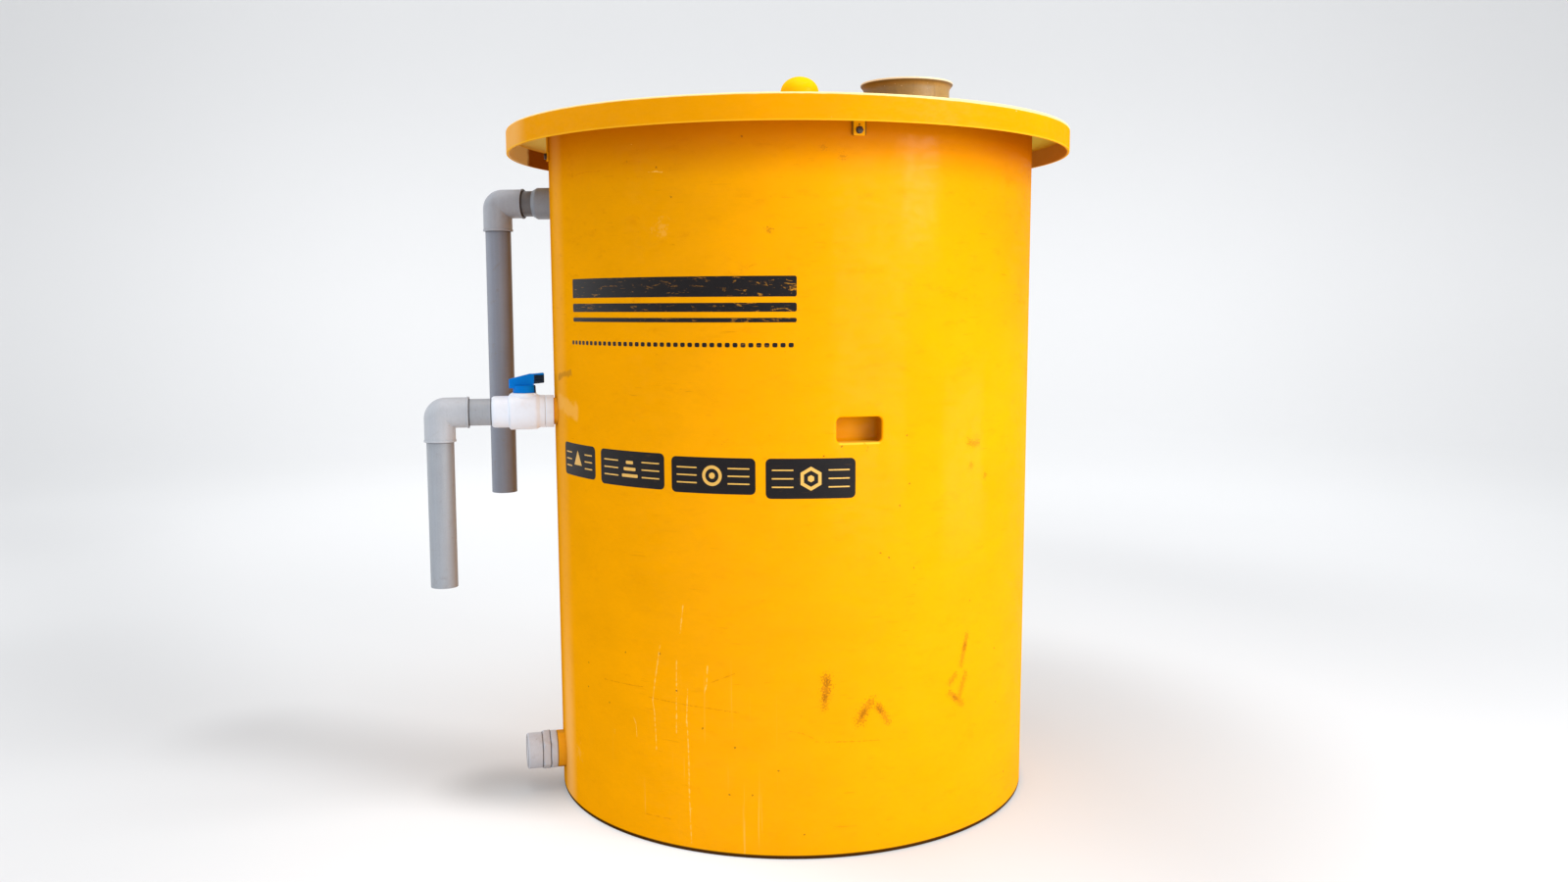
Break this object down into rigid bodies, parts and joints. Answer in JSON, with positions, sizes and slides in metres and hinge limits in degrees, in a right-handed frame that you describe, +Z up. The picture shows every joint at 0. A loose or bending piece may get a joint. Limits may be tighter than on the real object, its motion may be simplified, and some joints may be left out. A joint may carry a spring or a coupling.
{
  "type": "biogas digester",
  "caption": "Upright round biogas digester: moulded tank with overhanging lid, inlet pipe through the lid, overflow line, outlet line with a ball valve and a capped drain.",
  "frame": {"origin": "on the ground, at the axis of the round tank", "axes": "+Z up; -Y is the side with the pocket; the outlet line and the drain leave near -X"},
  "size_m": [1.1908, 1.0336, 1.324],
  "materials": {
    "tank_shell": "satin moulded plastic, scuffed near the ground",
    "lid_shell": "satin moulded plastic",
    "bracket_yellow": "painted sheet steel",
    "bolt_steel": "dark, dull",
    "pipe_grey": "matt grey pipe with dust",
    "inlet_ochre": "stained and dusty",
    "valve_white": "satin white with yellowed seams",
    "handle_blue": "satin moulded plastic",
    "fitting_grey": "pale grey with grime in its corners"
  },
  "bodies": {
    "digester": {"tank_wall": "tank_shell", "tank_floor": "tank_shell", "lid": "lid_shell", "lid_knob": "lid_shell", "inlet_pipe": "inlet_ochre", "lid_bracket_front": "bracket_yellow", "lid_bracket_right": "bracket_yellow", "lid_bracket_back": "bracket_yellow", "lid_bracket_left": "bracket_yellow", "lid_bolt_front": "bolt_steel", "lid_bolt_right": "bolt_steel", "lid_bolt_back": "bolt_steel", "lid_bolt_left": "bolt_steel", "overflow_socket": "pipe_grey", "overflow_stub_pipe": "pipe_grey", "overflow_elbow": "pipe_grey", "overflow_down_pipe": "pipe_grey", "outlet_nozzle": "tank_shell", "valve_ring": "valve_white", "valve_body": "valve_white", "outlet_stub_pipe": "pipe_grey", "outlet_elbow": "pipe_grey", "outlet_down_pipe": "pipe_grey", "drain_nozzle": "tank_shell", "drain_stub": "fitting_grey", "drain_ring": "fitting_grey", "drain_collar": "fitting_grey", "drain_cap": "fitting_grey"},
    "handle": {"valve_handle": "handle_blue"}
  },
  "joints": [
    {"name": "valve_turn", "type": "hinge", "parent": "digester", "child": "handle", "pos_m": [-0.49997, -0.01597, 0.7585], "axis": [0, 0, 1], "range_deg": [-90, 0]}
  ]
}
